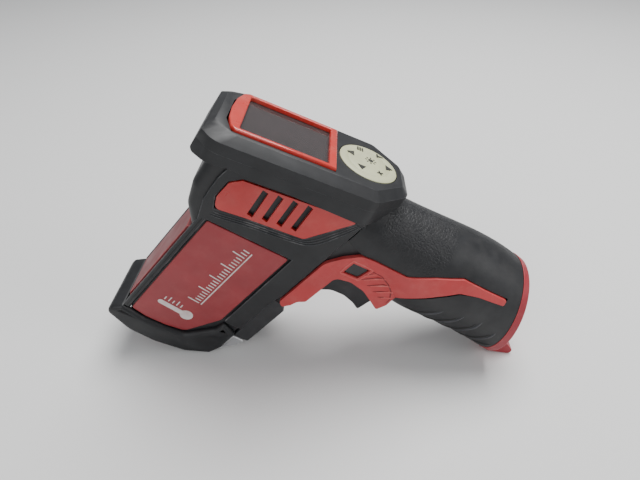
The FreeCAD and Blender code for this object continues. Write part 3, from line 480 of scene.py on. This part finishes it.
# ---------------------------------------------------------------- finger grooves and collar ribs
GROOVES = [[(-8.0, -52.0), (-7.2, -56.5), (-4.2, -60.3), (1.0, -62.6), (5.0, -63.2)],
           [(-7.6, -62.5), (-6.4, -67.6), (-2.2, -71.4), (4.6, -73.0), (9.6, -72.8)],
           [(-7.0, -74.0), (-5.2, -79.4), (0.2, -82.8), (8.0, -83.4), (13.2, -82.2)],
           [(-5.2, -85.8), (-2.8, -90.6), (2.0, -93.8), (8.0, -94.6), (12.6, -93.6)],
           [(-1.6, -97.0), (0.6, -101.0), (4.0, -103.4), (8.2, -103.8), (11.6, -102.8)]]
RIBS = [[(-8.2, -20.9), (-1.6, -25.6)], [(-8.4, -23.6), (-0.6, -30.2)], [(-9.2, -28.6), (-2.2, -35.2)],
        [(-10.2, -33.4), (-4.6, -39.2)], [(-11.2, -37.6), (-7.8, -42.0)]]
RIB_ARC = [(-1.2, -24.2), (0.2, -29.2), (-1.2, -34.8), (-4.0, -39.6), (-8.6, -43.2), (-11.6, -43.6)]


def laid(skin, line, side, out):
    """A line of the side view laid on a part's side, with a few points along each of its stretches."""
    spots = []
    for (x, z), (x2, z2) in zip(line, line[1:]):
        spots += [(x + (x2 - x) * k / LINE_STEPS, z + (z2 - z) * k / LINE_STEPS) for k in range(LINE_STEPS)]
    hits = [on_skin(skin, x, z, side, out) for x, z in spots + line[-1:]]
    return [hit for hit in hits if hit]


def laid_runs(skin, lines, side, out, taper):
    """Lines laid on a part's side with their taper, without those that miss the part."""
    runs = [(laid(skin, line, side, out), taper) for line in lines]
    return [(run, ends) for run, ends in runs if len(run) > 2]


for word, side in SIDES:
    rubber_skin, collar_skin = skin_of("grip_" + word), skin_of("trigger_surround_" + word)
    # dark beads in the finger grooves: painted shade
    bead("finger_grooves_" + word, laid_runs(rubber_skin, GROOVES, side, -0.5, 0.7), 1.0, "housing",
         groove_painted_shade)
    # lighter beads on the lip below each groove: painted highlight, with some wear
    lips = [[(x + 0.9, z - 1.5) for x, z in groove[1:]] for groove in GROOVES]
    bead("groove_lips_" + word, laid_runs(rubber_skin, lips, side, -0.3, 0.6), 0.9, "housing",
         groove_lip_wear_and_highlight)
    # dark lines on the collar: painted shade in the creases
    bead("collar_lines_" + word, laid_runs(collar_skin, RIBS + [RIB_ARC], side, -0.12, 0.4), 0.36, "housing",
         collar_crease_painted_shade)
    # lighter ribs beside them: painted highlight, with wear
    ribs = [[(x + 0.9, z - 1.5) for x, z in rib] for rib in RIBS]
    bead("collar_ribs_" + word, laid_runs(collar_skin, ribs, side, -0.32, 0.3), 0.72, "housing",
         collar_edge_wear_and_highlight)
    # lighter rim round the lock: painted highlight, with wear
    rim = [(-11.5, -13.5), (-6.9, -13.2), (-2.3, -13.5), (-1.1, -18.6), (-0.2, -24.1), (-4.6, -24.1),
           (-9.5, -23.2), (-10.7, -18.3), (-11.6, -13.7)]
    bead("lock_rim_" + word, laid_runs(collar_skin, [rim], side, -0.3, 0.0), 0.5, "housing",
         collar_edge_wear_and_highlight)


# ---------------------------------------------------------------- print on the side panels
def print_bar(shape, low, high, side):
    """One bar of print, a hair thick, on the face of the panel."""
    x0, z0 = low
    x1, z1 = high
    bar = bmesh.ops.create_cube(shape, size=1)["verts"]
    bmesh.ops.scale(shape, vec=(x1 - x0, BAR_THICK, z1 - z0), verts=bar)
    bmesh.ops.translate(shape, vec=((x0 + x1) / 2, side * PRINT_FACE, (z0 + z1) / 2), verts=bar)


def print_disc(shape, centre, radius, side):
    """One disc of print on the face of the panel."""
    disc = bmesh.ops.create_cone(shape, cap_ends=True, segments=36, radius1=radius, radius2=radius,
                                 depth=DISC_THICK)["verts"]
    bmesh.ops.rotate(shape, cent=(0, 0, 0), matrix=Matrix.Rotation(math.pi / 2, 3, "X"), verts=disc)
    bmesh.ops.translate(shape, vec=(centre[0], side * PRINT_FACE, centre[1]), verts=disc)


for word, side in SIDES:
    marks = bmesh.new()
    print_disc(marks, (-88, 24.2), 3.4, side)
    print_bar(marks, (-89.5, 26.4), (-86.5, 39), side)
    print_disc(marks, (-88, 39), 1.5, side)
    for i in range(5):
        print_bar(marks, (-85.2, 29 + 2.3 * i), (-82.9 + 1.2 * (i % 2), 29.6 + 2.3 * i), side)
    for i in range(23):
        tall = 6.4 if i % 5 == 0 else 3.2
        print_bar(marks, (-76 + 2.0 * i, 24), (-75.4 + 2.0 * i, 24 + tall), side)
    print_bar(marks, (-76, 22.4), (-31.4, 23), side)
    carry(marks, "scale_print_" + word, LYING, "housing", "trim_red", print_white)


# ---------------------------------------------------------------- display face
def plate(points, low, high):
    """A flat outline across the pod's face, given (y, up), made solid between two depths."""
    shape = bmesh.new()
    corners = [shape.verts.new((low, y, up)) for y, up in points]
    face = shape.faces.new(corners)
    grown = bmesh.ops.extrude_face_region(shape, geom=[face])["geom"]
    lifted = [v for v in grown if isinstance(v, bmesh.types.BMVert)]
    bmesh.ops.translate(shape, vec=(high - low, 0, 0), verts=lifted)
    bmesh.ops.recalc_face_normals(shape, faces=shape.faces)
    return shape


def ringed(outer, inner, low, high, ease):
    """A frame between two outlines with the same number of corners, its front edges rounded."""
    shape = bmesh.new()
    loops = []
    for outline in (outer, inner):
        ring = [shape.verts.new((low, y, up)) for y, up in outline]
        loops += [shape.edges.new((a, b)) for a, b in zip(ring, ring[1:] + ring[:1])]
    bmesh.ops.bridge_loops(shape, edges=loops)
    grown = bmesh.ops.extrude_face_region(shape, geom=shape.faces[:])["geom"]
    lifted = [v for v in grown if isinstance(v, bmesh.types.BMVert)]
    bmesh.ops.translate(shape, vec=(high - low, 0, 0), verts=lifted)
    bmesh.ops.recalc_face_normals(shape, faces=shape.faces)
    front = [e for e in shape.edges if all(abs(v.co.x - high) < 1e-6 for v in e.verts)
             and len(e.link_faces) == 2 and e.calc_face_angle(0) > 0.8]
    bmesh.ops.bevel(shape, geom=front, offset=ease, segments=4, profile=0.5, affect="EDGES", material=-1)
    return shape


BEZEL_OUTER = [(17.4, -22.2), (17.4, 19.6), (15.6, 21.8), (9, 23.7), (0, 24.3), (-9, 23.7), (-15.6, 21.8),
               (-17.4, 19.6), (-17.4, -22.2), (0, -22.2)]
BEZEL_INNER = [(15.3, -18.9), (15.3, 17.6), (14.8, 18.3), (8, 18.3), (0, 18.3), (-8, 18.3), (-14.8, 18.3),
               (-15.3, 17.6), (-15.3, -18.9), (0, -18.9)]
bezel = carry(ringed(BEZEL_OUTER, BEZEL_INNER, -0.55, 1.4, 0.7), "bezel_frame", POD, "housing", "bezel_red",
              bezel_red)
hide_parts("display_bezel")

LINE_OUTER = [(13.6, -17.0), (13.6, 16.4), (-13.6, 16.4), (-13.6, -17.0)]
LINE_INNER = [(13.35, -16.75), (13.35, 16.15), (-13.35, 16.15), (-13.35, -16.75)]
carry(ringed(LINE_OUTER, LINE_INNER, -3.2, -3.08, 0.02), "display_edge_line", POD, "housing", "lcd_grey",
      lcd_line)


# ---------------------------------------------------------------- keypad
KEY_CENTRE = -37.4
pad_top = bmesh.new()
bmesh.ops.create_circle(pad_top, cap_ends=True, segments=72, radius=13.5)
bmesh.ops.rotate(pad_top, cent=(0, 0, 0), matrix=Matrix.Rotation(math.pi / 2, 3, "Y"), verts=pad_top.verts)
bmesh.ops.translate(pad_top, vec=(-2.0, 0, KEY_CENTRE), verts=pad_top.verts)
grown = bmesh.ops.extrude_face_region(pad_top, geom=pad_top.faces[:])["geom"]
bmesh.ops.translate(pad_top, vec=(2.1, 0, 0), verts=[v for v in grown if isinstance(v, bmesh.types.BMVert)])
crown = max(pad_top.faces, key=lambda f: f.calc_center_median().x)
for inward, up in ((0.9, 0.42), (2.2, 0.12), (0.5, -0.22), (0.5, 0.22), (4.5, 0.16), (3.2, 0.05)):
    bmesh.ops.inset_region(pad_top, faces=[crown], thickness=inward, depth=0)
    bmesh.ops.translate(pad_top, vec=(up, 0, 0), verts=crown.verts)
keypad_cap = carry(pad_top, "keypad_crown", POD, "keypad", "key_cream", cream)
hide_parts("keypad")


def key_mark(shape, points):
    """One small raised mark on the crown, from its outline in (y, up) about the keypad centre."""
    mark = plate([(y, up + KEY_CENTRE) for y, up in points], MARK_OUT - 0.5, MARK_OUT + 0.09)
    copy = bpy.data.meshes.new("mark")
    mark.to_mesh(copy)
    mark.free()
    shape.from_mesh(copy)
    bpy.data.meshes.remove(copy)


def turned_points(points, degrees, centre):
    """An outline turned about its own middle and put at a centre."""
    angle = math.radians(degrees)
    return [(centre[0] + y * math.cos(angle) - up * math.sin(angle),
             centre[1] + y * math.sin(angle) + up * math.cos(angle)) for y, up in points]


ARROW = [(0, 2.0), (-2.0, -1.3), (2.0, -1.3)]
BAR = [(-1.5, -0.32), (1.5, -0.32), (1.5, 0.32), (-1.5, 0.32)]
marks = bmesh.new()
key_mark(marks, turned_points(ARROW, 0, (2.5, 8.4)))
key_mark(marks, turned_points(ARROW, 180, (1.0, -9.4)))
key_mark(marks, turned_points(ARROW, 90, (-6.6, 3.6)))
key_mark(marks, turned_points(BAR, 20, (-6.0, -4.9)))
key_mark(marks, turned_points(BAR, 110, (-6.0, -4.9)))
for rise in (-1.1, 0, 1.1):
    key_mark(marks, turned_points(BAR, 0, (8.8, 4.0 + rise)))
key_mark(marks, turned_points(BAR, 0, (8.8, -4.4)))
key_mark(marks, turned_points(BAR, 90, (8.8, -5.6)))
for turn in range(8):
    key_mark(marks, turned_points([(-0.35, 1.7), (0.35, 1.7), (0.35, 2.7), (-0.35, 2.7)], 45 * turn,
                                  (1.6, -0.8)))
key_mark(marks, turned_points([(math.cos(k * math.pi / 8) * 1.3, math.sin(k * math.pi / 8) * 1.3)
                               for k in range(16)], 0, (1.6, -0.8)))
carry(marks, "keypad_legends", POD, "keypad", "key_cream", legend)


# ---------------------------------------------------------------- floor, light and camera
ground = bmesh.new()
bmesh.ops.create_grid(ground, x_segments=1, y_segments=1, size=3)
floor_mesh = bpy.data.meshes.new("floor")
ground.to_mesh(floor_mesh)
ground.free()
floor = bpy.data.objects.new("floor", floor_mesh)
bpy.context.collection.objects.link(floor)
pale = bpy.data.materials.new("pale_floor")
pale.use_nodes = True
pale.node_tree.nodes["Principled BSDF"].inputs["Base Color"].default_value = (0.74, 0.74, 0.73, 1)
pale.node_tree.nodes["Principled BSDF"].inputs["Roughness"].default_value = 0.7
floor_mesh.materials.append(pale)


def lamp(name, place, aim, size, power):
    light = bpy.data.lights.new(name, "AREA")
    light.shape, light.size, light.energy = "DISK", size, power
    holder = bpy.data.objects.new(name, light)
    bpy.context.collection.objects.link(holder)
    holder.location = place
    holder.rotation_euler = (Vector(aim) - Vector(place)).to_track_quat("-Z", "Y").to_euler()


lamp("softbox_above", (0.2, 0.35, 1.1), (0, 0, 0.06), 0.8, 19)
lamp("softbox_front", (-0.5, -0.9, 0.7), (0, 0, 0.05), 0.7, 4)
lamp("softbox_right", (0.9, -0.3, 0.5), (0, 0, 0.05), 0.6, 3)
world = bpy.data.worlds.new("studio")
bpy.context.scene.world = world
world.use_nodes = True
world.node_tree.nodes["Background"].inputs["Color"].default_value = (0.93, 0.95, 1, 1)
world.node_tree.nodes["Background"].inputs["Strength"].default_value = 0.34

lens = bpy.data.cameras.new("camera")
lens.lens, lens.sensor_width, lens.clip_start = 26.44, 36, 0.01
camera = bpy.data.objects.new("camera", lens)
bpy.context.collection.objects.link(camera)
camera.location = (0.0087, -0.1804, 0.210)
camera.rotation_euler = (math.radians(51.5), 0, math.radians(2.3))
bpy.context.scene.camera = camera
